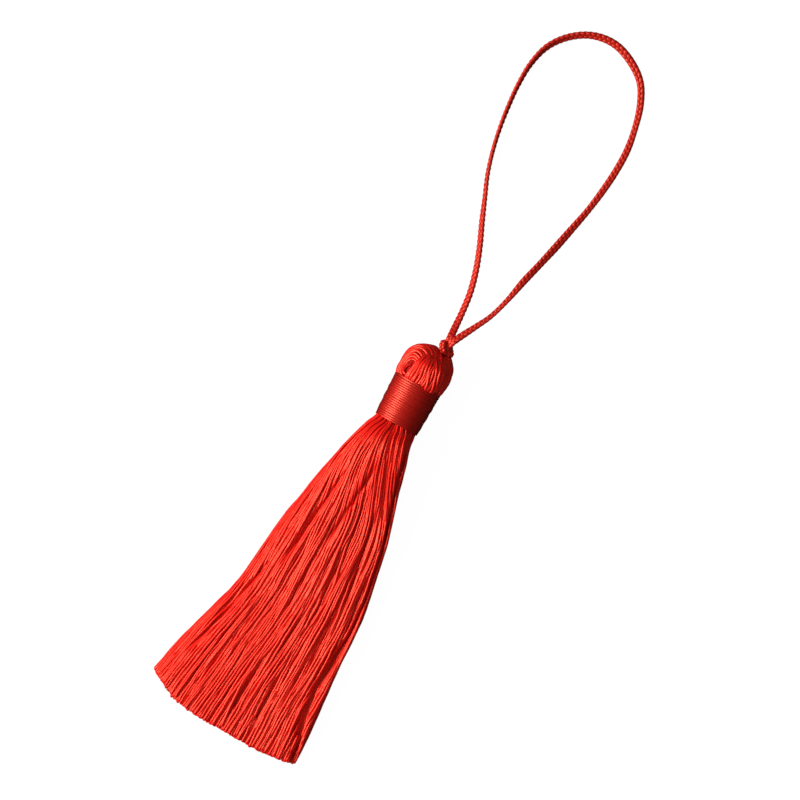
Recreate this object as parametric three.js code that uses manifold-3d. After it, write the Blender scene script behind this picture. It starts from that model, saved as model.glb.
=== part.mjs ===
// Red yarn tassel with a hanging loop, lying on its side. Sizes in millimetres, the floor at z = 0.
// +Y runs from the cut end to the head, +X points right as seen from above, +Z points up.

import * as THREE from "three";
import Module from "manifold-3d";
import { mergeVertices } from "three/addons/utils/BufferGeometryUtils.js";

// Clearance between neighbouring pieces
const PIECE_GAP = 0.3;

// Neck binding: fine thread wound in turns, wider towards the head
const BINDING = { lowY: 24.2, highY: 32.4, lowRadius: 4.25, highRadius: 4.6, wall: 0.45 };
const BINDING_TURNS = 19;
const BINDING_RIB = 0.1;
const BINDING_SIDES = 36;

// The floor presses the round underside level by this much
const FLOOR_PRESS = 0.125;

// The neck's axis leans a little to the left on its way to the head
const AXIS = { y: 25.4, x: -0.07, lean: -0.036 };

// Head: the folded end of the hank, its threads running round an axis that tilts up and left
const HEAD = { centreY: 34.2, radius: 4.88, rise: 5.3, power: 2.5, foldTiltDeg: 33 };
const HEAD_RIDGES = 24;
const HEAD_RIDGE_HEIGHT = 0.09;
const HEAD_STEPS_ROUND = 22;
const FOLD_EYE = { depth: 0.55, spread: 0.17 };
const FOLD_CREASE = { angle: 0.4, depth: 0.22, spread: 0.06 };
const FOLD_OPENING = 0.75;
const NECK_SIDES = 32;
const NECK_LOW_Y = 24;

// Knot: two tight turns of the cord round a small core, let into a hollow in the head
const KNOT = { x: 0.8, y: 40.3, z: 5.0, core: 1.05, turnSteps: 20, tubeSides: 8 };
const KNOT_TURNS = [
  { dx: -0.65, dy: 0.05, dz: 0.15, axisDeg: 24, ring: 0.85, tube: 0.6 },
  { dx: 0.6, dy: -0.15, dz: -0.15, axisDeg: 40, ring: 0.8, tube: 0.6 },
];
const KNOT_HOLLOW = { depth: 1.02, spread: 2.0 };

// Skirt outline seen from above, and its height: one row for each cross section down the skirt.
// level says how far the round underside has settled flat, from 0 to 1.
const SKIRT_SECTIONS = [
  { y: 24.3, left: -3.28, right: 3.16, low: 0.9, high: 7.35, level: 0 },
  { y: 22.9, left: -4.4, right: 4.1, low: 0, high: 8.3, level: 0.2 },
  { y: 14.6, left: -6.7, right: 6.5, low: 0, high: 7.2, level: 0.7 },
  { y: 2.5, left: -8.5, right: 10.05, low: 0, high: 5.9, level: 1 },
  { y: -13.3, left: -10.25, right: 13.05, low: 0, high: 5, level: 1 },
  { y: -25, left: -12.95, right: 14.1, low: 0, high: 4.6, level: 1 },
  { y: -40, left: -15.95, right: 15.65, low: 0, high: 4.3, level: 1 },
];

// Where the locks are bent between root and cut end
const LOCK_BENDS = [24.3, 22.9, 14.6, 2.5, -13.3, -25];

// The cut end across the skirt, from its left edge at -1 to its right edge at 1
const CUT_END = [
  { across: -1, y: -36.3 },
  { across: -0.9, y: -37.9 },
  { across: -0.6, y: -39.4 },
  { across: 0, y: -40 },
  { across: 0.85, y: -39.5 },
  { across: 1, y: -38.1 },
];

// Locks stand in columns across the skirt, most deep in the middle
const COLUMNS = 41;
const COLUMN_UNEVENNESS = 0.45;
const DEEPEST_COLUMN = 6;
const LOCK_MARGIN = 0.08;
const TOP_UNEVENNESS = 0.14;
const RAGGED_END = 0.45;
const SHORTER_BELOW = 0.9;
const SWAY = { reach: 0.4, perLength: 0.21, perWidth: 7 };
const CREVICE = { from: 0.82, to: 0.88, depth: 0.72 };

// Loop cord: a narrow flat braid that turns over as it goes
const CORD = { halfWidth: 0.75, halfThickness: 0.34, sides: 8, steps: 70, floorGap: 0.02 };

// Route of the loop: turn is the braid's angle to the floor in degrees, lift its height off the floor
const CORD_ROUTE = [
  { x: 0.5, y: 42.08, turn: 20, lift: 4.88 },
  { x: 0.32, y: 43.7, turn: 24, lift: 4.2 },
  { x: 0.17, y: 45.35, turn: 36, lift: 3.4 },
  { x: 0.02, y: 47.0, turn: 46, lift: 2.7 },
  { x: -0.58, y: 51.15, turn: 50, lift: 1.3 },
  { x: -1.78, y: 55.3, turn: 52, lift: 0.5 },
  { x: -3.38, y: 59.3, turn: 55, lift: 0.1 },
  { x: -5.23, y: 63.2, turn: 55, lift: 0 },
  { x: -6.98, y: 67.15, turn: 62, lift: 0 },
  { x: -8.73, y: 71.1, turn: 65, lift: 0 },
  { x: -10.08, y: 75.2, turn: 75, lift: 0 },
  { x: -11.08, y: 79.4, turn: 78, lift: 0 },
  { x: -11.78, y: 83.65, turn: 70, lift: 0 },
  { x: -12.23, y: 88.0, turn: 75, lift: 0 },
  { x: -12.18, y: 92.4, turn: 65, lift: 0 },
  { x: -11.18, y: 96.45, turn: 52, lift: 0 },
  { x: -8.73, y: 99.9, turn: 38, lift: 0 },
  { x: -5.18, y: 102.3, turn: 35, lift: 0 },
  { x: -1.03, y: 103.0, turn: 22, lift: 0 },
  { x: 3.02, y: 101.8, turn: 5, lift: 0 },
  { x: 6.47, y: 99.4, turn: 30, lift: 0 },
  { x: 8.62, y: 95.8, turn: 32, lift: 0 },
  { x: 9.92, y: 91.7, turn: 45, lift: 0 },
  { x: 10.72, y: 87.55, turn: 35, lift: 0 },
  { x: 10.87, y: 83.25, turn: 32, lift: 0 },
  { x: 10.62, y: 78.95, turn: 32, lift: 0 },
  { x: 10.12, y: 74.65, turn: 40, lift: 0 },
  { x: 9.32, y: 70.4, turn: 25, lift: 0 },
  { x: 8.52, y: 66.1, turn: 5, lift: 0 },
  { x: 7.62, y: 61.9, turn: 35, lift: 0 },
  { x: 6.62, y: 57.7, turn: 50, lift: 0.1 },
  { x: 5.77, y: 53.45, turn: 78, lift: 0.5 },
  { x: 4.67, y: 49.35, turn: 95, lift: 1.4 },
  { x: 3.47, y: 46.35, turn: 120, lift: 2.4 },
  { x: 2.37, y: 43.85, turn: 132, lift: 3.4 },
  { x: 1.54, y: 41.52, turn: 135, lift: 4.2 },
];

const wasm = await Module();
wasm.setup();

const { lerp, degToRad, clamp } = THREE.MathUtils;

// Steady unevenness between 0 and 1 for a whole number
function uneven(number) {
  const wave = Math.sin(number * 12.9898 + 4.1) * 43758.5453;
  return wave - Math.floor(wave);
}

// A column of a table, read between its rows
function readTable(rows, key, at, column) {
  let row = 0;
  const falling = rows[0][key] > rows[rows.length - 1][key];
  while (row < rows.length - 2 && (falling ? at < rows[row + 1][key] : at > rows[row + 1][key])) {
    row += 1;
  }
  const share = (at - rows[row][key]) / (rows[row + 1][key] - rows[row][key]);
  return lerp(rows[row][column], rows[row + 1][column], clamp(share, 0, 1));
}

// A closed geometry as a solid that can be joined and cut
function toSolid(geometry) {
  const bare = geometry.clone();
  bare.deleteAttribute("normal");
  bare.deleteAttribute("uv");
  const merged = mergeVertices(bare, 1e-4);
  const vertProperties = new Float32Array(merged.attributes.position.array);
  const triVerts = new Uint32Array(merged.index.array);
  return new wasm.Manifold(new wasm.Mesh({ numProp: 3, vertProperties, triVerts }));
}

// A joined solid as a geometry again
function toGeometry(solid) {
  const mesh = solid.getMesh();
  const geometry = new THREE.BufferGeometry();
  geometry.setAttribute("position", new THREE.BufferAttribute(new Float32Array(mesh.vertProperties), 3));
  geometry.setIndex(new THREE.BufferAttribute(new Uint32Array(mesh.triVerts), 1));
  geometry.computeVertexNormals();
  return geometry;
}

// Move every point of a geometry
function movePoints(geometry, place) {
  const position = geometry.attributes.position;
  const point = new THREE.Vector3();
  for (let index = 0; index < position.count; index += 1) {
    point.fromBufferAttribute(position, index);
    place(point);
    position.setXYZ(index, point.x, point.y, point.z);
  }
  return geometry;
}

// Neck axis and binding
function bindingRadius(y) {
  const share = (y - BINDING.lowY) / (BINDING.highY - BINDING.lowY);
  return lerp(BINDING.lowRadius, BINDING.highRadius, share);
}

function axisAt(y) {
  return { x: AXIS.x + AXIS.lean * (y - AXIS.y), z: bindingRadius(y) - FLOOR_PRESS };
}

// Set a turned form on the neck's axis, level where it lies on the floor
function layOnAxis(geometry) {
  return movePoints(geometry, (point) => {
    const axis = axisAt(point.y);
    point.x += axis.x;
    point.z = Math.max(0, point.z + axis.z);
  });
}

function buildBinding() {
  const profile = [];
  const rows = 2 * BINDING_TURNS;
  for (let row = 0; row <= rows; row += 1) {
    const y = lerp(BINDING.lowY, BINDING.highY, row / rows);
    const rib = row % 2 === 1 ? BINDING_RIB * lerp(0.6, 1, uneven(row)) : 0;
    profile.push(new THREE.Vector2(bindingRadius(y) + rib, y));
  }
  profile.push(new THREE.Vector2(bindingRadius(BINDING.highY) - BINDING.wall, BINDING.highY));
  profile.push(new THREE.Vector2(bindingRadius(BINDING.lowY) - BINDING.wall, BINDING.lowY));
  profile.push(profile[0].clone());
  return layOnAxis(new THREE.LatheGeometry(profile, BINDING_SIDES));
}

// Neck core inside the binding, with the head's shoulder above it
function buildNeck() {
  const inset = BINDING.wall + PIECE_GAP;
  const profile = [
    new THREE.Vector2(0, NECK_LOW_Y),
    new THREE.Vector2(bindingRadius(NECK_LOW_Y) - inset, NECK_LOW_Y),
    new THREE.Vector2(bindingRadius(BINDING.highY) - inset, BINDING.highY),
    new THREE.Vector2(bindingRadius(BINDING.highY) - inset, HEAD.centreY),
    new THREE.Vector2(0, HEAD.centreY),
  ];
  return toSolid(layOnAxis(new THREE.LatheGeometry(profile, NECK_SIDES)));
}

// Head of folded threads: ridges run round the fold's axis, with the fold's eye at its upper end
function buildHead() {
  const rows = 2 * HEAD_RIDGES;
  const tilt = degToRad(HEAD.foldTiltDeg);
  const fold = new THREE.Vector3(-Math.sin(tilt), 0, Math.cos(tilt));
  const up = new THREE.Vector3(0, 1, 0);
  const side = new THREE.Vector3().crossVectors(fold, up);
  const axis = axisAt(HEAD.centreY);
  const sphere = new THREE.SphereGeometry(1, HEAD_STEPS_ROUND, rows);
  movePoints(sphere, (point) => {
    const angle = Math.acos(clamp(point.y, -1, 1));
    const row = Math.round((angle / Math.PI) * rows);
    const rest = Math.max(Math.sin(angle), 1e-6);
    const below = (1 - point.z / rest) / 2;
    const spread = angle + FOLD_OPENING * rest * below ** 2;
    const ridge = HEAD_RIDGE_HEIGHT * (row % 2 === 0 ? -1 : lerp(0.3, 1.2, uneven(row)));
    const eye = -FOLD_EYE.depth * Math.exp(-((angle / FOLD_EYE.spread) ** 2));
    const fromCrease = (angle - FOLD_CREASE.angle) / FOLD_CREASE.spread;
    const crease = -FOLD_CREASE.depth * Math.exp(-(fromCrease ** 2));
    const way = new THREE.Vector3();
    way.addScaledVector(fold, Math.cos(spread));
    way.addScaledVector(side, (point.x / rest) * Math.sin(spread));
    way.addScaledVector(up, (point.z / rest) * Math.sin(spread));
    const across = Math.hypot(way.x, way.z) / HEAD.radius;
    const along = Math.abs(way.y) / HEAD.rise;
    const reach = (across ** HEAD.power + along ** HEAD.power) ** (-1 / HEAD.power);
    point.copy(way).multiplyScalar(reach + ridge + eye + crease);
    point.add(new THREE.Vector3(axis.x, HEAD.centreY, axis.z));
    const fromKnot = Math.hypot(point.x - KNOT.x, point.z - KNOT.z) / KNOT_HOLLOW.spread;
    if (point.y > HEAD.centreY) {
      point.y -= KNOT_HOLLOW.depth * Math.exp(-(fromKnot ** 2));
    }
    point.z = Math.max(0, point.z);
  });
  return toSolid(sphere).trimByPlane([0, 1, 0], BINDING.highY + PIECE_GAP);
}

// Columns of locks across the skirt, of uneven width
function columnTable() {
  const widths = [];
  for (let column = 0; column < COLUMNS; column += 1) {
    widths.push(1 + COLUMN_UNEVENNESS * (2 * uneven(column + 11) - 1));
  }
  const total = widths.reduce((sum, width) => sum + width, 0);
  const table = [];
  let from = -1;
  widths.forEach((width, column) => {
    const to = from + (2 * width) / total;
    const middle = (from + to) / 2;
    const inCrevice = middle > CREVICE.from && middle < CREVICE.to;
    const round = Math.sqrt(1 - middle * middle);
    const top = 1 + TOP_UNEVENNESS * (uneven(column + 71) - 0.7) - (inCrevice ? CREVICE.depth : 0);
    const layers = inCrevice ? 1 : Math.max(1, Math.round(DEEPEST_COLUMN * round));
    table.push({ from, to, middle, round, top, layers });
    from = to;
  });
  return table;
}

// A point across the skirt at a height of its cross section
function skirtX(y, across) {
  const left = readTable(SKIRT_SECTIONS, "y", y, "left");
  const right = readTable(SKIRT_SECTIONS, "y", y, "right");
  const free = clamp((BINDING.lowY - 1 - y) / 20, 0, 1) * (1 - across * across);
  const sway = SWAY.reach * Math.sin(SWAY.perLength * y + SWAY.perWidth * across);
  return lerp(left, right, (across + 1) / 2) + free * sway;
}

// Floor and top of a column of locks
function columnHeights(y, column) {
  const low = readTable(SKIRT_SECTIONS, "y", y, "low");
  const high = readTable(SKIRT_SECTIONS, "y", y, "high");
  const level = readTable(SKIRT_SECTIONS, "y", y, "level");
  const middle = (low + high) / 2;
  const half = (high - low) / 2;
  const free = clamp((BINDING.lowY - y) / 8, 0, 1);
  const floor = lerp(middle - half * column.round, low, level);
  const roof = lerp(middle + half * column.round, low + (high - low) * column.round, level);
  return { floor, roof: floor + (roof - floor) * lerp(1, column.top, free) };
}

// One three-sided lock, flat side down, from inside the neck to the cut end
function buildLock(column, layer, seed) {
  const cut = readTable(CUT_END, "across", column.middle, "y");
  const depth = 1 - (layer + 1) / column.layers;
  const end = cut + RAGGED_END * uneven(seed) + SHORTER_BELOW * depth * uneven(seed + 500);
  const bends = [...LOCK_BENDS, end];
  const margin = LOCK_MARGIN * (column.to - column.from);
  const corners = [new THREE.Vector2(-1, 0), new THREE.Vector2(1, 0), new THREE.Vector2(0, 1)];
  const outline = new THREE.Shape(corners);
  const steps = bends.length - 1;
  const lock = new THREE.ExtrudeGeometry(outline, { depth: steps, steps, bevelEnabled: false });
  movePoints(lock, (point) => {
    const y = bends[Math.round(point.z)];
    const { floor, roof } = columnHeights(y, column);
    const rise = (roof - floor) / column.layers;
    const left = skirtX(y, column.from + margin);
    const right = skirtX(y, column.to - margin);
    const bottom = floor + rise * (layer + (layer > 0 ? LOCK_MARGIN : 0));
    const tip = floor + rise * (layer + 1 - LOCK_MARGIN);
    point.set(lerp(left, right, (point.x + 1) / 2), y, lerp(bottom, tip, point.y));
  });
  return toSolid(lock);
}

function buildHank() {
  const solids = [buildNeck(), buildHead()];
  let seed = 1;
  columnTable().forEach((column) => {
    for (let layer = 0; layer < column.layers; layer += 1) {
      solids.push(buildLock(column, layer, seed));
      seed += 1;
    }
  });
  return toGeometry(wasm.Manifold.union(solids));
}

// Knot of two turns round a core
function buildKnot() {
  const core = new THREE.SphereGeometry(KNOT.core, 10, 8);
  core.translate(KNOT.x, KNOT.y, KNOT.z);
  const solids = [toSolid(core)];
  KNOT_TURNS.forEach((turn) => {
    const ring = new THREE.TorusGeometry(turn.ring, turn.tube, KNOT.tubeSides, KNOT.turnSteps);
    const lie = degToRad(turn.axisDeg);
    const axis = new THREE.Vector3(Math.cos(lie), Math.sin(lie), 0);
    const swing = new THREE.Quaternion().setFromUnitVectors(new THREE.Vector3(0, 0, 1), axis);
    ring.applyQuaternion(swing);
    ring.translate(KNOT.x + turn.dx, KNOT.y + turn.dy, KNOT.z + turn.dz);
    solids.push(toSolid(ring));
  });
  return toGeometry(wasm.Manifold.union(solids));
}

// Loop cord on its route, turning over as the table says
function buildCord() {
  const path = new THREE.CatmullRomCurve3(
    CORD_ROUTE.map((row) => {
      const turn = degToRad(row.turn);
      const half = Math.hypot(CORD.halfWidth * Math.sin(turn), CORD.halfThickness * Math.cos(turn));
      return new THREE.Vector3(row.x, row.y, half + CORD.floorGap + row.lift);
    })
  );
  const corners = [];
  for (let corner = 0; corner < CORD.sides; corner += 1) {
    const angle = (2 * Math.PI * corner) / CORD.sides;
    const wide = CORD.halfWidth * Math.cos(angle);
    const thick = CORD.halfThickness * Math.sin(angle);
    corners.push(new THREE.Vector2(wide, thick));
  }
  const section = new THREE.Shape(corners);
  const extrusion = { depth: CORD.steps, steps: CORD.steps, bevelEnabled: false };
  const tube = new THREE.ExtrudeGeometry(section, extrusion);
  const up = new THREE.Vector3(0, 0, 1);
  movePoints(tube, (point) => {
    const share = Math.round(point.z) / CORD.steps;
    const place = share * (CORD_ROUTE.length - 1);
    const row = Math.min(Math.floor(place), CORD_ROUTE.length - 2);
    const turn = degToRad(lerp(CORD_ROUTE[row].turn, CORD_ROUTE[row + 1].turn, place - row));
    const forward = path.getTangent(share);
    const across = new THREE.Vector3().crossVectors(up, forward).normalize();
    const rise = new THREE.Vector3().crossVectors(forward, across);
    const sideways = point.x * Math.cos(turn) - point.y * Math.sin(turn);
    const upwards = point.x * Math.sin(turn) + point.y * Math.cos(turn);
    point.copy(path.getPoint(share));
    point.addScaledVector(across, sideways);
    point.addScaledVector(rise, upwards);
  });
  return toGeometry(toSolid(tube));
}

function piece(name, geometry, colour, roughness) {
  const material = new THREE.MeshStandardMaterial({ color: colour, roughness, metalness: 0 });
  const mesh = new THREE.Mesh(geometry, material);
  mesh.name = name;
  return mesh;
}

const tassel = new THREE.Group();
tassel.name = "tassel";
tassel.add(piece("yarn_hank", buildHank(), 0xd02a20, 0.5));
tassel.add(piece("neck_binding", toGeometry(toSolid(buildBinding())), 0xb01614, 0.42));
tassel.add(piece("loop_knot", buildKnot(), 0xc0201a, 0.5));
tassel.add(piece("loop_cord", buildCord(), 0xd8281e, 0.5));

export default tassel;
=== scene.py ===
"""Red yarn tassel lying on a pale floor: a folded hank, its bound neck and a plaited hanging loop.

Lengths in the tables are millimetres, as a trimming maker measures them; meshes are made in metres.
"""
import logging
import math
from dataclasses import dataclass, field, replace
from enum import Enum
from functools import partial
from typing import NamedTuple

import bmesh
import bpy
import numpy as np
from mathutils import Matrix, Vector


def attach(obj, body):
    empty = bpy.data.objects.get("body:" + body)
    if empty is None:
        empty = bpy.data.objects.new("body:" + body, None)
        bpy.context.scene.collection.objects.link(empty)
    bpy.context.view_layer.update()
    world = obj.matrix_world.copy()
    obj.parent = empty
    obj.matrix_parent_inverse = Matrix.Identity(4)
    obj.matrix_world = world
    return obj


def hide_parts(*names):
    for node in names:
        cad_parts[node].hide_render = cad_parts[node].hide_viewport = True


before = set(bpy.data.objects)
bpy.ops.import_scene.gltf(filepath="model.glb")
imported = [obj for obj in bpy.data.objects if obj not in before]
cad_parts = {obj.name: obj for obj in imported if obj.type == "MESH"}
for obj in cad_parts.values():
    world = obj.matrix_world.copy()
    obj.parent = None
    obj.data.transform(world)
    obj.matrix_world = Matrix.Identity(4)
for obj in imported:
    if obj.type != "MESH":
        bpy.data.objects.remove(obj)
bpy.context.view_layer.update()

MM = 0.001
FULL_TURN = 2 * math.pi
GOLDEN_TURN = 2.399963
UP = (0.0, 0.0, 1.0)
WHITE = (1.0, 1.0, 1.0, 1.0)
LOG = logging.getLogger("tassel")

Array = np.ndarray
Rng = np.random.Generator
Piece = bpy.types.Object
Tree = bpy.types.NodeTree
Socket = bpy.types.NodeSocket
Colour = tuple[float, float, float, float]
Span = tuple[float, float]
Pairs = tuple[Span, ...]


class YarnEnd(Enum):
    """How a run of yarn ends."""

    CUT = "snipped, with a low dome"
    TUCKED = "closed level, out of sight"
    JOINED = "joined to its own start"


class SkirtSection(NamedTuple):
    """One cross-section of the skirt: its place, edges, height and how level its underside is."""

    y: float
    left: float
    right: float
    low: float
    high: float
    level: float


class CordPoint(NamedTuple):
    """One point of the loop: its place, the plait's turn, its lift off the floor and its half width."""

    x: float
    y: float
    turn: float
    lift: float = 0.0
    half_width: float = 0.75


class KnotTurn(NamedTuple):
    """One turn of the plait in the knot: its offset, its axis' bearing and dip, its ring and half width."""

    dx: float
    dy: float
    dz: float
    bearing: float
    dip: float
    ring: float
    half_width: float


SKIRT_SECTIONS = tuple(SkirtSection(*row) for row in (
    (24.9, -4.05, 3.9, 0.2, 8.0, 0.0),
    (24.2, -4.1, 4.0, 0.1, 8.0, 0.0),
    (23.5, -4.2, 4.1, 0.0, 8.1, 0.05),
    (22.8, -4.52, 4.22, 0.0, 8.45, 0.12),
    (22.0, -4.9, 4.3, 0.0, 8.8, 0.2),
    (20.8, -5.2, 4.6, 0.0, 9.05, 0.3),
    (18.2, -5.87, 5.48, 0.0, 8.75, 0.5),
    (13.7, -6.8, 6.75, 0.0, 7.6, 0.75),
    (9.2, -7.5, 8.2, 0.0, 6.7, 0.9),
    (4.7, -8.12, 9.62, 0.0, 6.1, 1.0),
    (0.2, -8.86, 10.74, 0.0, 5.7, 1.0),
    (-8.8, -9.8, 12.62, 0.0, 5.2, 1.0),
    (-13.3, -10.15, 13.2, 0.0, 5.0, 1.0),
    (-17.8, -11.0, 13.5, 0.0, 4.8, 1.0),
    (-22.3, -12.25, 14.03, 0.0, 4.65, 1.0),
    (-31.3, -14.25, 14.83, 0.0, 4.4, 1.0),
    (-35.8, -15.1, 15.4, 0.0, 4.35, 1.0),
    (-41.0, -16.0, 15.8, 0.0, 4.3, 1.0),
))

# Where the skirt is cut: the place across it, from -1 at the left to 1 at the right, and y.
CUT_LINE: Pairs = ((-1.0, -35.95), (-0.82, -37.25), (-0.56, -38.7), (-0.36, -39.15),
                   (0.1, -39.1), (0.6, -38.9), (0.8, -38.5), (1.0, -37.8))

LOOP_ROUTE = tuple(CordPoint(*row) for row in (
    (0.72, 40.9, -22, 4.6), (0.5, 42.08, -22, 5.45), (0.32, 43.7, -26, 4.3), (0.17, 45.35, -36, 3.2),
    (0.02, 47, -46, 2.4), (-0.58, 51.15, -50, 1.3), (-1.78, 55.3, -54, 0.5), (-3.38, 59.3, -58, 0.1),
    (-5.23, 63.2, -62), (-6.98, 67.15, -74), (-8.73, 71.1, -82), (-10.08, 75.2, -92), (-11.08, 79.4, -98),
    (-11.78, 83.65, -106), (-12.23, 88, -108), (-12.18, 92.4, -115), (-11.18, 96.45, -128),
    (-8.73, 99.9, -142), (-5.18, 102.3, -150), (-1.03, 103, -162), (3.02, 101.8, -172),
    (6.47, 99.4, -172, 0, 0.68), (8.62, 95.8, -172, 0, 0.66), (9.92, 91.7, -174, 0, 0.59),
    (10.72, 87.55, -182, 0, 0.65), (10.87, 83.25, -185, 0, 0.66), (10.62, 78.95, -190, 0, 0.66),
    (10.12, 74.65, -194, 0, 0.62), (9.34, 70.4, -196, 0.3, 0.7), (8.52, 66.1, -197, 1.2),
    (7.62, 61.9, -197, 2.3, 0.68), (6.66, 57.7, -183, 3.5, 0.66), (5.87, 53.4, -162, 4.45, 0.52),
    (4.76, 49.3, -162, 4.95, 0.5), (3.42, 46.4, -162, 5.2, 0.58), (2.18, 43.9, -161, 5.45, 0.68),
    (1.2, 41.75, -158, 5.7, 0.7), (0.9, 40.7, -155, 4.9, 0.7),
))

KNOT_TURNS = (
    KnotTurn(-0.3, 0.05, 0.25, 32.0, 27.0, 1.02, 0.66),
    KnotTurn(0.5, -0.25, -0.5, 42.0, -20.0, 1.0, 0.64),
    KnotTurn(0.85, -0.5, -0.5, 58.0, 72.0, 0.55, 0.6),
)


def unit(vectors: Array) -> Array:
    """Vectors of the same directions, each of length 1."""
    return vectors / np.linalg.norm(vectors, axis=-1, keepdims=True)


def distance(points: Array) -> Array:
    """How far along its line each point lies, from 0 at the line's start."""
    steps = np.linalg.norm(np.diff(points, axis=-2), axis=-1)
    return np.concatenate([np.zeros_like(steps[..., :1]), np.cumsum(steps, axis=-1)], axis=-1)


def ripple(at: Array, size: float, rates: Array, phases: Array) -> Array:
    """Adds up waves of one size, each with its own rate and phase."""
    return sum(size * np.sin(rate * at + phase) for rate, phase in zip(rates, phases))


def eased(at: Array, knots: Array, values: Array) -> Array:
    """Reads a smooth line through the values of a table.

    Args:
        at: places where the line is read, of any shape.
        knots: the table's places, in rising order.
        values: the table's value at each place.

    Returns:
        The line's values, in the shape of at.
    """
    slope = np.gradient(values, knots)
    left = np.clip(np.searchsorted(knots, at, side="right") - 1, 0, len(knots) - 2)
    width = knots[left + 1] - knots[left]
    t = np.clip((at - knots[left]) / width, 0.0, 1.0)
    start = (1 + 2 * t) * (1 - t) ** 2 * values[left] + t * (1 - t) ** 2 * width * slope[left]
    return start + t * t * (3 - 2 * t) * values[left + 1] + t * t * (t - 1) * width * slope[left + 1]


def through(points: Array, count: int, finer: int = 6) -> Array:
    """Runs a smooth line through points and steps along it evenly.

    Args:
        points: rows of numbers, of which the first three are a place.
        count: how many even steps the line gets.
        finer: how many trial steps there are for each even one.

    Returns:
        The rows along the line, count of them.
    """
    chord = np.linalg.norm(np.diff(points[:, :3], axis=0), axis=1)
    knots = np.concatenate([[0.0], np.cumsum(np.sqrt(chord))])
    fine = np.linspace(0.0, knots[-1], count * finer)
    dense = np.stack([eased(fine, knots, column) for column in points.T], axis=1)
    run = distance(dense[:, :3])
    steps = np.linspace(0.0, run[-1], count)
    return np.stack([np.interp(steps, run, column) for column in dense.T], axis=1)


def in_scene(name: str, data: bpy.types.ID) -> Piece:
    """Puts a new object with this data in the scene, at the origin.

    Args:
        name: the object's name.
        data: its mesh, camera or light.

    Returns:
        The new object.
    """
    made = bpy.data.objects.new(name, data)
    bpy.context.scene.collection.objects.link(made)
    return made


def from_bmesh(shape: bmesh.types.BMesh, name: str) -> Piece:
    """Makes a smooth object of a bmesh and frees it.

    Args:
        shape: the finished bmesh, in metres.
        name: the object's name.

    Returns:
        The new object, at the origin.
    """
    for face in shape.faces:
        face.smooth = True
    mesh = bpy.data.meshes.new(name)
    shape.to_mesh(mesh)
    shape.free()
    return in_scene(name, mesh)


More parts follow.
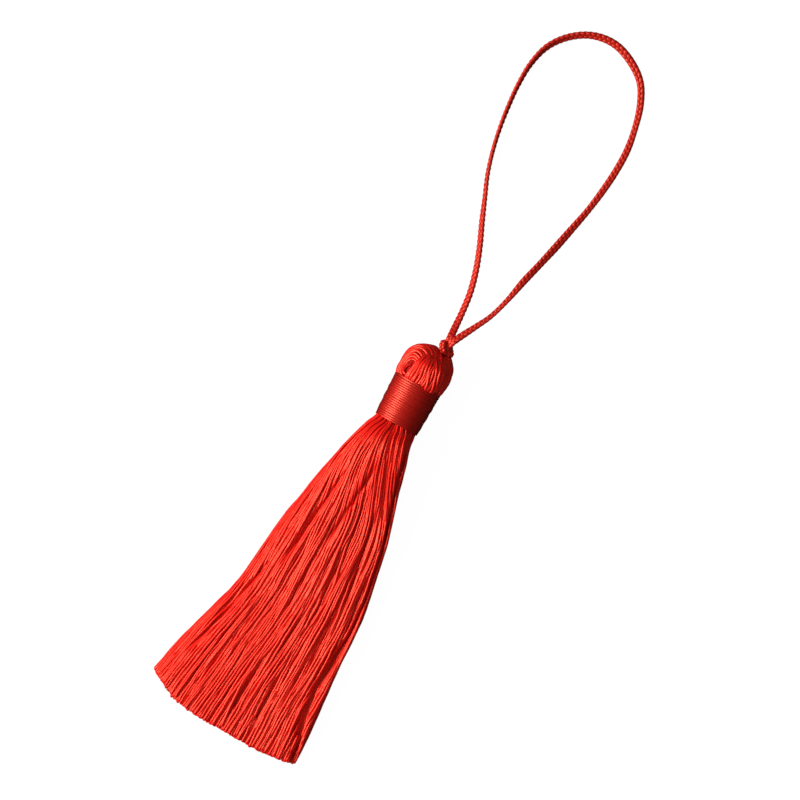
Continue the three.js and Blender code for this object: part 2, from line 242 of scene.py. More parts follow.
@dataclass
class YarnMesh:
    """Runs of yarn gathered into one joined mesh, with a length-and-round UV map and a tint for each run."""

    name: str
    sides: int = 6
    dome: float = 0.45
    kept: dict[str, list[Array]] = field(default_factory=dict)

    def lay(self, path: Array, outward: Array, radius: Array, tint: Array, end: YarnEnd,
            flatness: float = 1.0) -> None:
        """Adds runs of yarn.

        Args:
            path: centre lines, runs by steps by 3, in millimetres.
            outward: a direction across each step that turns the run's section.
            radius: the yarn's half width, runs by steps.
            tint: one number from 0 to 1 for each run's shade.
            end: how the runs end.
            flatness: the section's height as a share of its width.
        """
        runs, steps, k = path.shape[0], path.shape[1], self.sides
        joined = end is YarnEnd.JOINED
        along = unit(np.roll(path, -1, 1) - np.roll(path, 1, 1) if joined else np.gradient(path, axis=1))
        across = unit(np.cross(outward, along))
        upward = np.cross(along, across)
        turn = (np.arange(k) * FULL_TURN / k)[:, None]
        ring = np.cos(turn) * across[:, :, None] + flatness * np.sin(turn) * upward[:, :, None]
        body = path[:, :, None] + radius[:, :, None, None] * ring
        first = self._add(points=body.reshape(-1, 3), tints=np.repeat(tint, steps * k))
        run, step, side = np.meshgrid(np.arange(runs), np.arange(steps if joined else steps - 1),
                                      np.arange(k), indexing="ij")
        index = first + (run * steps + step) * k
        ahead = first + (run * steps + (step + 1) % steps) * k
        other = (side + 1) % k
        quads = np.stack([index + side, index + other, ahead + other, ahead + side], axis=-1)
        length = distance(np.concatenate([path, path[:, :1]], axis=1))
        here, there = length[run, step], length[run, step + 1]
        low, high = side / k, (side + 1) / k
        laid = np.stack([here, low, here, high, there, high, there, low], axis=-1)
        self._faces(quads.reshape(-1, 4), laid)
        if not joined:
            dome = self.dome if end is YarnEnd.CUT else 0.0
            for rim, way in ((0, -1), (steps - 1, 1)):
                tip = path[:, rim] + way * dome * radius[:, rim, None] * along[:, rim]
                self._cap(first + (np.arange(runs) * steps + rim) * k, tip, tint, way < 0)

    def _cap(self, rim: Array, tip: Array, tint: Array, back: bool) -> None:
        """Closes one end of each run with a fan of faces.

        Args:
            rim: the first vertex of each run's last ring.
            tip: the fan's middle point for each run.
            tint: one shade for each run.
            back: whether the fan faces back, as at the start of a run.
        """
        side, rim = np.arange(self.sides), rim[:, None]
        here, there = rim + side, rim + (side + 1) % self.sides
        middle = np.zeros_like(here) + self._add(points=tip, tints=tint) + np.arange(len(tip))[:, None]
        fans = np.stack([middle, there, here] if back else [middle, here, there], axis=-1).reshape(-1, 3)
        self._faces(fans, np.zeros((len(fans), 3, 2)))

    def _add(self, **values: Array) -> int:
        """Keeps more values of each kind.

        Args:
            values: rows of values by the name of their kind.

        Returns:
            How many vertices there were before.
        """
        before = sum(len(points) for points in self.kept.get("points", []))
        for kind, rows in values.items():
            self.kept.setdefault(kind, []).append(rows)
        return before

    def _faces(self, corners: Array, laid: Array) -> None:
        """Adds faces of one size, with the UV places of their corners."""
        self._add(corners=corners.ravel(), maps=laid.reshape(-1, 2), sizes=np.full(*corners.shape))

    def made(self) -> Piece:
        """Makes the joined mesh.

        Returns:
            The new object, at the origin.
        """
        mesh = bpy.data.meshes.new(self.name)
        kinds = ("points", "tints", "corners", "maps", "sizes")
        points, tints, corners, maps, sizes = (np.concatenate(self.kept[kind]) for kind in kinds)
        mesh.vertices.add(len(points))
        mesh.vertices.foreach_set("co", (points * MM).astype(np.float32).ravel())
        mesh.loops.add(len(corners))
        mesh.loops.foreach_set("vertex_index", corners.astype(np.int32))
        mesh.polygons.add(len(sizes))
        mesh.polygons.foreach_set("loop_start", (np.cumsum(sizes) - sizes).astype(np.int32))
        mesh.update(calc_edges=True)
        mesh.polygons.foreach_set("use_smooth", np.ones(len(sizes), bool))
        mesh.uv_layers.new(name="lay").data.foreach_set("uv", maps.astype(np.float32).ravel())
        mesh.attributes.new("tint", "FLOAT", "POINT").data.foreach_set("value", tints.astype(np.float32))
        mesh.update()
        return in_scene(self.name, mesh)


def feed(node: bpy.types.Node, inputs: dict[str | int, object]) -> None:
    """Feeds a node's inputs.

    Args:
        node: the node.
        inputs: sockets, numbers or colours, by the name or number of the input that they go in.
    """
    for label, value in inputs.items():
        if isinstance(value, Socket):
            node.id_data.links.new(value, node.inputs[label])
        else:
            node.inputs[label].default_value = value


def added(tree: Tree, kind: str, inputs: dict[str | int, object] | None = None,
          **settings: object) -> bpy.types.Node:
    """Adds one shader node.

    Args:
        tree: the node tree it goes in.
        kind: the node's kind, without the word ShaderNode.
        inputs: what is fed to it.
        settings: the node's own settings.

    Returns:
        The new node.
    """
    node = tree.nodes.new("ShaderNode" + kind)
    for label, value in settings.items():
        setattr(node, label, value)
    feed(node, inputs or {})
    return node


def worked(tree: Tree, operation: str, *values: object) -> Socket:
    """Adds one Math node, fed with numbers or sockets, and gives its output."""
    return added(tree, "Math", dict(enumerate(values)), operation=operation).outputs[0]


def mixed(tree: Tree, share: Socket, first: object, second: object) -> Socket:
    """Adds one Mix node, whose inputs 6 and 7 and output 2 are its colours, and gives the mixed colour."""
    return added(tree, "Mix", {0: share, 6: first, 7: second}, data_type="RGBA").outputs[2]


def socketed(name: str, place: str, numbers: tuple[str, ...], results: tuple[str, ...]) -> Tree:
    """Starts a shader node group.

    Args:
        name: the group's name.
        place: the name of its vector input.
        numbers: the names of its number inputs.
        results: the names of its number outputs.

    Returns:
        The group, with its input and output nodes named in and out.
    """
    group = bpy.data.node_groups.new(name, "ShaderNodeTree")
    group.interface.new_socket(name=place, in_out="INPUT", socket_type="NodeSocketVector")
    for way, labels in (("INPUT", numbers), ("OUTPUT", results)):
        for label in labels:
            group.interface.new_socket(name=label, in_out=way, socket_type="NodeSocketFloat")
    group.nodes.new("NodeGroupInput").name = "in"
    group.nodes.new("NodeGroupOutput").name = "out"
    return group


@dataclass
class YarnTwist:
    """Node group: the plies of twisted yarn and the fine filaments along them."""

    turn: float = 1.6
    along: float = 0.55
    around: float = 1.7
    scale: float = 1.9
    detail: float = 3.0
    height: float = 0.45

    def __post_init__(self) -> None:
        """Builds the group: plies from length and round, filaments from a noise stretched along them."""
        group = socketed("yarn_twist", "Lay", ("Turns", "Plies"), ("Height", "Groove", "Filament"))
        given, work = group.nodes["in"].outputs, partial(worked, group)
        split = added(group, "SeparateXYZ", {0: given["Lay"]})
        length, side = split.outputs["X"], split.outputs["Y"]
        ply = work("MULTIPLY_ADD", length, given["Turns"], work("MULTIPLY", side, given["Plies"]))
        crest = work("ABSOLUTE", work("SINE", work("MULTIPLY", ply, math.pi)))
        angle = work("MULTIPLY_ADD", side, FULL_TURN, work("MULTIPLY", length, self.turn))
        place = added(group, "CombineXYZ", {"X": work("MULTIPLY", length, self.along),
                                            "Y": work("MULTIPLY", work("COSINE", angle), self.around),
                                            "Z": work("MULTIPLY", work("SINE", angle), self.around)})
        noise = added(group, "TexNoise", {"Vector": place.outputs[0], "Scale": self.scale,
                                          "Detail": self.detail}).outputs[0]
        feed(group.nodes["out"], {"Height": work("MULTIPLY_ADD", noise, self.height, crest),
                                  "Groove": work("POWER", work("SUBTRACT", 1.0, crest), 2.0),
                                  "Filament": noise})
        self.group = group


@dataclass
class DyeAndGrooveShade:
    """Node group: the yarn's tone, from run to run and along the yarn, and painted shade in its ply grooves.
    """

    scale: float = 210.0
    detail: float = 2.0
    tint: float = 0.5
    drift: float = 0.35
    filament: float = 0.45
    # how far painted shade darkens the ply grooves
    groove_shade: float = 0.15

    def __post_init__(self) -> None:
        """Builds the group: the run's own tint, a slow drift over the piece, and painted shade that darkens
        the grooves.
        """
        group = socketed("dye_and_groove_shade", "Place", ("Tint", "Groove", "Filament"), ("Shade",))
        given, work = group.nodes["in"].outputs, partial(worked, group)
        noise = added(group, "TexNoise", {"Vector": given["Place"], "Scale": self.scale,
                                          "Detail": self.detail}).outputs[0]
        shade = work("MULTIPLY_ADD", given["Tint"], self.tint, work("MULTIPLY", noise, self.drift))
        shade = work("MULTIPLY_ADD", given["Filament"], self.filament, shade)
        # painted shade: the colour is darkened in the ply grooves
        shade = work("SUBTRACT", shade, work("MULTIPLY", given["Groove"], self.groove_shade))
        feed(group.nodes["out"], {"Shade": added(group, "Clamp", {"Value": shade}).outputs[0]})
        self.group = group


@dataclass(frozen=True)
class YarnFinish:
    """Silky dyed yarn: its two reds, its gloss, its twist and its painted rim shade where it turns away."""

    name: str
    slot: str
    deep: Colour
    bright: Colour
    smooth: float
    rough: float
    lustre: Colour
    gloss: float
    turns_per_mm: float
    plies: float
    relief_mm: float
    # edge and the two fields after it set the painted rim shade: how far the red darkens where the surface
    # turns away from the eye
    edge: float = 0.0
    rim_shade_span: Span = (0.3, 0.8)
    rim_shade_depth: float = 0.2
    gloss_span: Span = (0.3, 0.7)
    bump: float = 0.8

    def material(self, twist: YarnTwist, dye_and_shade: DyeAndGrooveShade) -> bpy.types.Material:
        """Makes the finish's material.

        Args:
            twist: the shared plies and filaments.
            dye_and_shade: the shared drift of tone, with painted shade in the ply grooves.

        Returns:
            The new material.
        """
        made = bpy.data.materials.new(self.name)
        made.use_nodes = True
        tree = made.node_tree
        lay = added(tree, "UVMap", uv_map="lay")
        plied = added(tree, "Group", {"Lay": lay.outputs[0], "Turns": self.turns_per_mm, "Plies": self.plies},
                      node_tree=twist.group).outputs
        tint = added(tree, "Attribute", attribute_name="tint")
        # the group's Shade holds the yarn's tone and the painted shade of its ply grooves
        dyed = added(tree, "Group", {"Place": added(tree, "TexCoord").outputs["Object"],
                                     "Tint": tint.outputs["Fac"], "Groove": plied["Groove"],
                                     "Filament": plied["Filament"]}, node_tree=dye_and_shade.group)
        reds = mixed(tree, dyed.outputs["Shade"], self.deep, self.bright)
        # painted shade: the red is darkened at the rims, by the angle to the eye
        if self.edge:
            reds = self.with_rim_shade(tree, reds)
        gloss = added(tree, "MapRange", {"Value": plied["Filament"], "From Min": self.gloss_span[0],
                                         "From Max": self.gloss_span[1], "To Min": self.rough,
                                         "To Max": self.smooth})
        bump = added(tree, "Bump", {"Strength": self.bump, "Distance": self.relief_mm * MM,
                                    "Height": plied["Height"]})
        feed(tree.nodes["Principled BSDF"],
             {"Base Color": reds, "Roughness": gloss.outputs[0], "Normal": bump.outputs[0],
              "IOR": self.gloss, "Specular IOR Level": 1.0, "Specular Tint": self.lustre})
        return made

    def with_rim_shade(self, tree: Tree, reds: Socket) -> Socket:
        """Paints shade at the rims: darkens the red where the piece turns away from the eye.

        Args:
            tree: the material's nodes.
            reds: the red.

        Returns:
            The red with painted rim shade.
        """
        # Layer Weight's Facing says how much painted rim shade each place gets
        away = added(tree, "LayerWeight", {"Blend": 0.5})
        share = added(tree, "MapRange", {"Value": away.outputs["Facing"], "From Min": self.rim_shade_span[0],
                                         "From Max": self.rim_shade_span[1], "To Max": self.edge},
                      interpolation_type="SMOOTHSTEP")
        darkest_rim_shade = tuple(part * self.rim_shade_depth for part in self.deep[:3]) + (1.0,)
        return mixed(tree, share.outputs[0], reds, darkest_rim_shade)


LUSTRE = (1.0, 0.18, 0.1, 1.0)
HANK_YARN = YarnFinish("silky_hank_yarn", "yarn", (0.48, 0.0025, 0.002, 1.0), (0.7, 0.007, 0.005, 1.0),
                       0.34, 0.44, LUSTRE, 1.75, 0.5, 2.0, 0.005)
# the hank yarn with painted rim shade: its red darkens where the head turns away from the eye
RIM_SHADED_HEAD_YARN = replace(HANK_YARN, name="rim_shaded_head_yarn", edge=0.35)
# a darker copy of the yarn for the eye, the inner arcs and the core: its darker red is painted shade, and its
# last number adds painted rim shade
SHADED_INNER_YARN = YarnFinish("shaded_inner_yarn", "yarn", (0.2, 0.001, 0.0008, 1.0), (0.3, 0.0015, 0.001, 1.0),
                         0.44, 0.54, (1.0, 0.08, 0.05, 1.0), 1.4, 0.5, 2.0, 0.005, 0.8)
# the binding thread; its last number sets painted rim shade, darkening the red where the binding turns away
# from the eye
BINDING_THREAD = YarnFinish("fine_binding_thread", "binding_thread", (0.26, 0.001, 0.0007, 1.0),
                            (0.36, 0.002, 0.0014, 1.0), 0.39, 0.47, (1.0, 0.12, 0.075, 1.0), 2.2, 0.9, 2.0,
                            0.012, 0.62)
LOOP_PLAIT = YarnFinish("satin_loop_plait", "braid", (0.28, 0.002, 0.0014, 1.0), (0.44, 0.004, 0.003, 1.0),
                        0.44, 0.54, LUSTRE, 1.82, 0.7, 3.0, 0.01)


@dataclass
class Workshop:
    """The mixed finishes, and how a finished piece is signed off."""

    materials: dict[str, bpy.types.Material] = field(default_factory=dict)

    def mix(self, *finishes: YarnFinish) -> None:
        """Makes the materials of all finishes."""
        twist, dye_and_shade = YarnTwist(), DyeAndGrooveShade()
        self.materials = {each.name: each.material(twist, dye_and_shade) for each in finishes}

    def dress(self, piece: Piece, finish: YarnFinish, node: str) -> Piece:
        """Gives a piece its finish and its body, and hides the CAD node that it stands for.

        Args:
            piece: the finished piece.
            finish: its finish.
            node: the CAD node that it replaces.

        Returns:
            The same piece.
        """
        piece.data.materials.append(self.materials[finish.name])
        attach(piece, "root")
        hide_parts(node)
        LOG.info("%s: %d faces in %s", piece.name, len(piece.data.polygons), finish.name)
        return piece


@dataclass(frozen=True)
class NeckAxis:
    """The leaning, tapered middle line of the bound neck."""

    y: float = 25.4
    x: float = -0.07
    lean: float = -0.036
    low_y: float = 24.2
    high_y: float = 32.4
    low_radius: float = 4.25
    high_radius: float = 4.6
    press: float = 0.125

    def radius(self, y: Array) -> Array:
        """The outside radius of the binding at y."""
        share = (y - self.low_y) / (self.high_y - self.low_y)
        return self.low_radius + share * (self.high_radius - self.low_radius)

    def at(self, y: Array) -> Array:
        """The middle line's point at y."""
        y = np.asarray(y, float)
        return np.stack([self.x + self.lean * (y - self.y), y, self.radius(y) - self.press], axis=-1)


@dataclass
class Studio:
    """Camera, floor and lights of the picture, which looks straight down on the tassel."""

    middle_x: float = -1.62
    middle_y: float = 28.1
    focus_z: float = 2.0
    roll: float = 30.62
    lens: float = 300.0
    sensor: float = 36.0
    nearest: float = 0.01
    field_mm: float = 144.0
    floor_half: float = 2.0
    floor_drop_mm: float = 0.04
    floor_grey: float = 0.06
    floor_rough: float = 0.9
    floor_glow: float = 0.97
    light_bearing: Span = (-0.9025, -0.4307)
    light_height: float = 33.2
    light_far: float = 0.7
    light_size: float = 0.44
    light_power: float = 8.9
    room: float = 0.64
    far_room: float = 0.13
    room_fall: float = 0.8
    shown: float = 0.03
    backdrop: float = 0.96

    def build(self) -> None:
        """Makes the camera, the floor, the room light and the key light."""
        bpy.context.scene.view_settings.view_transform = "Standard"
        self.camera()
        self.floor()
        self.room_light()
        self.key_light()

    def camera(self) -> None:
        """Makes the camera above the tassel and hands it to the scene."""
        data = bpy.data.cameras.new("overhead_camera")
        data.lens = self.lens
        data.sensor_width = self.sensor
        data.clip_start = self.nearest
        made = in_scene("overhead_camera", data)
        away = self.field_mm * self.lens / self.sensor
        made.location = Vector((self.middle_x, self.middle_y, self.focus_z + away)) * MM
        made.rotation_euler = (0.0, 0.0, math.radians(self.roll))
        bpy.context.scene.camera = made

    def floor(self) -> None:
        """Makes the pale floor, which the camera sees nearly white and which gives back little light."""
        shape = bmesh.new()
        bmesh.ops.create_grid(shape, x_segments=4, y_segments=4, size=self.floor_half)
        bmesh.ops.translate(shape, verts=shape.verts, vec=(0.0, 0.0, -self.floor_drop_mm * MM))
        made = from_bmesh(shape, "pale_floor")
        paint = bpy.data.materials.new("pale_floor_paint")
        paint.use_nodes = True
        tree = paint.node_tree
        seen = added(tree, "LightPath").outputs["Is Camera Ray"]
        feed(tree.nodes["Principled BSDF"],
             {"Base Color": (self.floor_grey, self.floor_grey, self.floor_grey, 1.0),
              "Roughness": self.floor_rough, "Specular IOR Level": 0.0, "Emission Color": WHITE,
              "Emission Strength": worked(tree, "MULTIPLY", seen, self.floor_glow)})
        made.data.materials.append(paint)

    def room_light(self) -> None:
        """Makes the room light, dimmer away from the key light and in reflections, with a white backdrop."""
        world = bpy.data.worlds.new("pale_room")
        bpy.context.scene.world = world
        world.use_nodes = True
        tree = world.node_tree
        away = (-self.light_bearing[0], -self.light_bearing[1], 0.0)
        across = added(tree, "VectorMath", {0: added(tree, "TexCoord").outputs["Generated"], 1: away},
                       operation="DOT_PRODUCT")
        fall = added(tree, "MapRange", {"Value": across.outputs["Value"], "From Max": self.room_fall,
                                        "To Min": self.room, "To Max": self.far_room})
        seen, work = added(tree, "LightPath").outputs, partial(worked, tree)
        glossy = seen["Is Glossy Ray"]
        soft = work("MULTIPLY", fall.outputs[0], work("SUBTRACT", 1.0, glossy))
        dim = work("MULTIPLY_ADD", glossy, self.shown, soft)
        shown = work("MULTIPLY", seen["Is Camera Ray"], self.backdrop)
        feed(tree.nodes["Background"], {"Color": WHITE, "Strength": work("MAXIMUM", dim, shown)})

    def key_light(self) -> None:
        """Makes the soft light that rakes across the yarn from its left."""
        data = bpy.data.lights.new("left_softbox", "AREA")
        data.shape = "DISK"
        data.size = self.light_size
        data.energy = self.light_power
        made = in_scene("left_softbox", data)
        rise = math.radians(self.light_height)
        level = Vector((*self.light_bearing, 0.0)) * math.cos(rise)
        way = level + Vector(UP) * math.sin(rise)
        made.location = Vector((self.middle_x, self.middle_y, 0.0)) * MM + way * self.light_far
        made.rotation_euler = way.to_track_quat("Z", "Y").to_euler()


@dataclass
class Plait:
    """A flat plait of three satin strands along a line."""

    rise: float = 0.11
    strand: float = 0.6
    flatness: float = 0.72
    edge: float = 2.6
    repeat: float = 2.8
    strands: int = 3
    tints: Span = (0.35, 0.65)

    def half_thick(self, half_width: float) -> float:
        """Half the plait's thickness where it has this half width."""
        return half_width * (self.rise + self.strand * self.flatness)

    def lay(self, mesh: YarnMesh, middle: Array, wide: Array, thin: Array, half_width: Array,
            end: YarnEnd) -> None:
        """Plaits the strands along a line.

        Args:
            mesh: the mesh that they go in.
            middle: the line's points, in even steps.
            wide: the direction across the plait's face at each point.
            thin: the direction out of its face at each point.
            half_width: half the plait's width at each point.
            end: how the plait ends.
        """
        run = distance(middle)
        turns = run / self.repeat
        if end is YarnEnd.JOINED:
            whole = 2 * run[-1] - run[-2]
            turns = run / whole * max(1, round(whole / self.repeat))
        phase = FULL_TURN * (turns[None] + np.arange(self.strands)[:, None] / self.strands)
        radius = np.broadcast_to(self.strand * half_width, phase.shape)
        rise = self.rise * half_width
        sway = np.tanh(self.edge * np.sin(phase)) / math.tanh(self.edge) * (half_width - radius)
        path = middle + sway[..., None] * wide + (rise * np.sin(2 * phase))[..., None] * thin
        outward = np.broadcast_to(thin, path.shape)
        mesh.lay(path, outward, radius, np.linspace(*self.tints, self.strands), end, self.flatness)


@dataclass
class HangingLoop:
    """The loop of flat plait and the knot that it is tied with."""

    plait: Plait = field(default_factory=Plait)
    knot_plait: Plait = field(default_factory=lambda: Plait(0.26, 0.54, 0.72, 1.7, 2.3))
    knot_middle: tuple[float, float, float] = (0.8, 40.3, 5.0)
    width: float = 1.5
    knot_core: float = 1.25
    floor_gap: float = 0.06
    steps: int = 1200
    knot_steps: int = 96
    tuck: float = 0.7

    def route(self) -> Array:
        """Works out the loop's middle line.

        Returns:
            Rows of x, y, z, the plait's turn and its half width, from the left end to the right.
        """
        rows = []
        for x, y, degrees, lift, half_width in LOOP_ROUTE:
            turn = math.radians(degrees)
            half_thick = self.plait.half_thick(half_width)
            stand = math.hypot(half_width * math.sin(turn), half_thick * math.cos(turn))
            rows.append((x, y, stand + self.floor_gap + lift, turn, half_width))
        rows = np.array(rows)
        ends = rows[[0, -1]]
        ends[:, :3] += unit(ends[:, :3] - rows[[1, -2], :3]) * self.tuck
        return through(np.vstack([ends[0], rows, ends[1]]), self.steps)

    def build_loop(self) -> tuple[Piece, Array]:
        """Plaits the loop.

        Returns:
            The loop's object and its middle line in millimetres.
        """
        rows = self.route()
        middle, turn = rows[:, :3], rows[:, 3:4]
        along = unit(np.gradient(middle, axis=0))
        across = unit(np.cross(UP, along))
        rise = np.cross(along, across)
        wide = across * np.cos(turn) + rise * np.sin(turn)
        thin = rise * np.cos(turn) - across * np.sin(turn)
        mesh = YarnMesh("plaited_loop", sides=8)
        self.plait.lay(mesh, middle, wide, thin, rows[:, 4], YarnEnd.TUCKED)
        return mesh.made(), middle

    def build_knot(self) -> Piece:
        """Winds the knot: turns of the plait over a tight core.

        Returns:
            The knot's object.
        """
        mesh = YarnMesh("loop_knot_turns", sides=8)
        angle = (np.arange(self.knot_steps) * FULL_TURN / self.knot_steps)[:, None]
        for turn in KNOT_TURNS:
            bearing, dip = math.radians(turn.bearing), math.radians(turn.dip)
            level = math.cos(dip)
            axis = np.array([math.cos(bearing) * level, math.sin(bearing) * level, math.sin(dip)])
            side = unit(np.cross(axis, UP))
            out = np.cos(angle) * side + np.sin(angle) * np.cross(side, axis)
            ring = np.array(self.knot_middle) + turn[:3] + turn.ring * out
            half_width = np.full(self.knot_steps, turn.half_width)
            self.knot_plait.lay(mesh, ring, np.broadcast_to(axis, out.shape), out, half_width, YarnEnd.JOINED)
        return mesh.made()

    def build_core(self) -> Piece:
        """Makes the tight middle of the knot, which shows between its turns.

        Returns:
            The core's object.
        """
        shape = bmesh.new()
        bmesh.ops.create_uvsphere(shape, u_segments=24, v_segments=14, radius=self.knot_core * MM,
                                  matrix=Matrix.Translation(Vector(self.knot_middle) * MM))
        return from_bmesh(shape, "loop_knot_core")

    def dress(self, shop: Workshop) -> None:
        """Builds and dresses the loop, its knot and the knot's core.

        Args:
            shop: where the pieces get their finish.
        """
        loop, line = self.build_loop()
        shop.dress(loop, LOOP_PLAIT, "loop_cord")
        knot = shop.dress(self.build_knot(), LOOP_PLAIT, "loop_knot")
        core = shop.dress(self.build_core(), LOOP_PLAIT, "loop_knot")


@dataclass
class Binding:
    """The fine thread wound round the neck."""

    neck: NeckAxis
    start_y: float = 23.75
    turns: int = 20
    thread: float = 0.225
    flatness: float = 0.28
    proud: float = 0.05
    steps_a_turn: int = 96
    uneven: float = 0.04
    tint: float = 0.5
    seed: int = 5

    def build(self) -> Piece:
        """Winds the thread from the skirt's side up to the head.

        Returns:
            The binding's object.
        """
        rng = np.random.default_rng(self.seed)
        count = self.turns * self.steps_a_turn
        angle = math.pi + np.arange(count) * FULL_TURN / self.steps_a_turn
        share = np.arange(count) / (count - 1)
        marks = np.arange(self.turns + 1)
        lift, drift = (np.interp(share * self.turns, marks, rng.normal(0.0, self.uneven, len(marks)))
                       for _ in range(2))
        y = self.start_y + self.thread + share * (self.neck.high_y - self.start_y - 2 * self.thread) + drift
        out = np.stack([np.sin(angle), np.zeros(count), np.cos(angle)], axis=-1)
        high = self.thread * self.flatness
        reach = self.neck.radius(y) + self.proud - high + np.clip(lift, -self.uneven, self.uneven)
        path = self.neck.at(y) + reach[:, None] * out
        path[:, 2] = np.maximum(path[:, 2], high)
        mesh = YarnMesh("neck_binding_turns", sides=10)
        mesh.lay(path[None], out[None], np.full((1, count), self.thread), np.array([self.tint]),
                 YarnEnd.TUCKED, self.flatness)
        return mesh.made()

    def dress(self, shop: Workshop) -> None:
        """Builds and dresses the binding in the shop."""
        shop.dress(self.build(), BINDING_THREAD, "neck_binding")


@dataclass
class Head:
    """The folded end of the hank: arcs of yarn round the fold's end, and a fan of yarn from the knot."""

    neck: NeckAxis
    centre_y: float = 34.2
    radius: float = 4.88
    rise: float = 5.2
    fall: float = 3.5
    power: float = 2.8
    fold_tilt: float = 37.5
    fold_lift: float = 3.0
    opening: float = 0.75
    mouth: float = 0.4
    eye: float = 0.17
    eye_rise: float = 0.16
    eye_reach: float = 0.35
    eye_depth: float = 1.18
    eye_size: tuple[float, float, float] = (1.7, 2.6, 0.6)
    inner_folds: tuple[float, ...] = (-0.2, -0.08, 0.04, 0.13)
    inner_depth: float = 0.04
    inner_slope: float = 0.35
    inner_thick: float = 0.62
    yarn: float = 0.3
    yarn_varies: float = 0.08
    yarn_most: float = 0.14
    tints: Span = (0.1, 0.9)
    last_fold: float = 0.12
    low_gap: float = 0.02
    low_y: float = 31.7
    under_arcs: float = 0.38
    under_fan: float = 0.3
    fan_cover: float = 0.35
    arc_jitter: float = 0.012
    arc_sway: float = 0.02
    arc_calm: float = 0.3
    arc_depth: float = 0.035
    arc_waves: Span = (1.0, 4.0)
    depth_quicker: float = 1.3
    dive: float = 0.9
    dive_from: float = 0.35
    dive_over: float = 0.45
    dive_front: float = 1.6
    fan_yarn: float = 0.255
    fan_pitch: float = 0.83
    fan_jitter: float = 0.07
    fan_sway: float = 0.018
    sway_waves: tuple[float, ...] = (3.0, 5.0, 7.0)
    fan_depth: float = 0.04
    depth_waves: tuple[float, ...] = (2.2, 4.2, 6.2)
    fan_left: float = -29.5
    fan_right: float = 205.0
    fan_top: float = 12.0
    fan_low: float = 128.0
    fan_lean: float = 0.25
    fan_middle: float = -10.0
    lean_span: float = 30.0
    left_lean: float = -0.6
    low_lean: float = -0.4
    border: float = 1.3
    border_yarns: int = 3
    steps: int = 72
    trial_steps: int = 240
    fan_steps: int = 44
    hollow: float = 0.45
    hollow_bearing: float = 53.0
    hollow_spread: float = 11.0
    swells: tuple[tuple[float, float, float, float], ...] = ((-1.0, 5.0, 0.5, 1.4), (2.4, 5.0, 0.42, 0.8))
    core_y: float = 28.0
    core: Pairs = ((0.0, 22.5), (2.4, 22.7), (3.2, 24.0), (3.85, 26.0), (4.15, 31.0), (4.25, 34.4),
                   (3.95, 36.3), (3.1, 37.3), (1.6, 37.9), (0.0, 38.0))
    seed: int = 11

    def placed(self, way: Array, inset: Array) -> Array:
        """Places points on the head, which swells a little beside the knot and is hollow right of the fan.

        Args:
            way: directions from the head's middle.
            inset: how far under the head's outside the points lie.

        Returns:
            The points, with 3 numbers each.
        """
        x, y, z = np.moveaxis(way, -1, 0)
        square = np.where((x > 0) & (z > 0), self.power, 2.0)
        level = (np.abs(x) ** square + np.abs(z) ** square) ** (1 / square) / self.radius
        steep = np.where(y > 0, y / self.rise, -y / self.fall)
        reach = (level ** self.power + steep ** self.power) ** (-1 / self.power)
        off = (np.degrees(np.arctan2(x, z)) - self.hollow_bearing) / self.hollow_spread
        reach = reach - inset - self.hollow * np.exp(-off ** 2)
        points = self.neck.at(self.centre_y) + way * reach[..., None]
        raised = np.zeros_like(reach)
        for swell_x, swell_z, high, spread in self.swells:
            far = np.hypot(points[..., 0] - swell_x, points[..., 2] - swell_z)
            raised = raised + high * np.exp(-(far / spread) ** 2)
        points[..., 1] += np.where(points[..., 1] > self.centre_y, raised, 0.0)
        return points

    def sinking(self, way: Array) -> Array:
        """How far the yarn dives under the knot, on the side that faces up."""
        near = np.clip((way[..., 1] - self.dive_from) / self.dive_over, 0, 1)
        return self.dive * near * np.clip(way[..., 2] * self.dive_front, 0, 1)

    def fold_frame(self) -> tuple[Array, Array, Array]:
        """Works out the lie of the fold's end.

        Returns:
            Which way it faces, and up and sideways on it.
        """
        tilt, lift = math.radians(self.fold_tilt), math.radians(self.fold_lift)
        level = np.array([-math.sin(tilt), 0.0, math.cos(tilt)])
        up = np.array([0.0, math.cos(lift), 0.0]) - level * math.sin(lift)
        front = level * math.cos(lift) + np.array([0.0, math.sin(lift), 0.0])
        return front, up, np.cross(front, up)

    def arc(self, fold: Array, around: Array, depth: Array) -> Array:
        """Places points on an arc round the fold's end, which runs under the fan on its right.

        Args:
            fold: the angle from the fold's end, in radians.
            around: the angle round the fold's end; up is a quarter turn.
            depth: unevenness of the yarn's height.

        Returns:
            The points, with 3 numbers each.
        """
        front, up, side = self.fold_frame()
        below, above = (1 - np.sin(around)) / 2, (1 + np.sin(around)) / 2
        open_by = np.maximum(self.opening * np.sin(fold), self.mouth - fold)
        spread = fold + open_by * below ** 2 + self.eye_rise * np.exp(-fold / self.eye_reach) * above ** 2
        way = (np.cos(spread)[..., None] * front + (np.cos(around) * np.sin(spread))[..., None] * side
               + (np.sin(around) * np.sin(spread))[..., None] * up)
        right = np.clip(self.fan_cover - np.cos(around), 0.0, 1.0)
        return self.placed(way, self.yarn + depth + right * (self.under_fan + self.sinking(way)))

